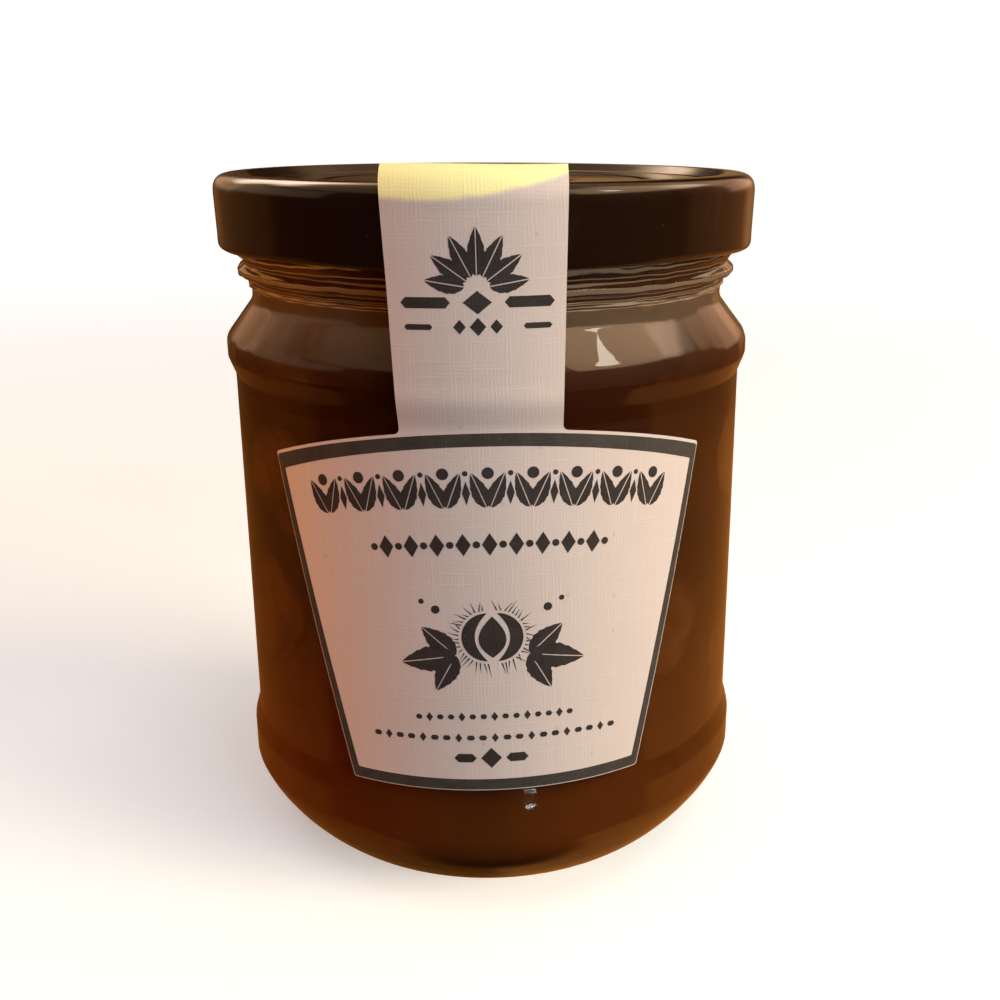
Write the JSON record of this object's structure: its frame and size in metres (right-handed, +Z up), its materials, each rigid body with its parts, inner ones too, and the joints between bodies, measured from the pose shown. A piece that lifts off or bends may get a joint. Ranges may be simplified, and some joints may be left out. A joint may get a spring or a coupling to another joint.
{
  "type": "sealed jar of brandied chestnuts",
  "caption": "Small round glass jar of chestnuts in dark brandy syrup, with a brown-black twist-off lid and a die-cut paper label whose strip runs up over the lid as a seal.",
  "frame": {"origin": "centre of the jar's foot, on the surface it stands on", "axes": "+Z up along the jar's axis, -Y out of the front, where the label is, +X to the right as seen from the front"},
  "size_m": [0.0666, 0.0672, 0.0876],
  "materials": {
    "glass": "clear flint glass, glossy, with a faint green cast in its thick edges, fine mould seams and slight waviness",
    "syrup": null,
    "lacquered_lid": "brown-black lacquer on tinplate, glossy, with fine handling scratches",
    "label_paper": "uncoated linen-embossed paper, greyish pink, with charcoal print and a pale yellow end"
  },
  "bodies": {
    "root": {"jar": "glass", "filling": "syrup", "lid": "lacquered_lid", "label": "label_paper"}
  },
  "joints": []
}
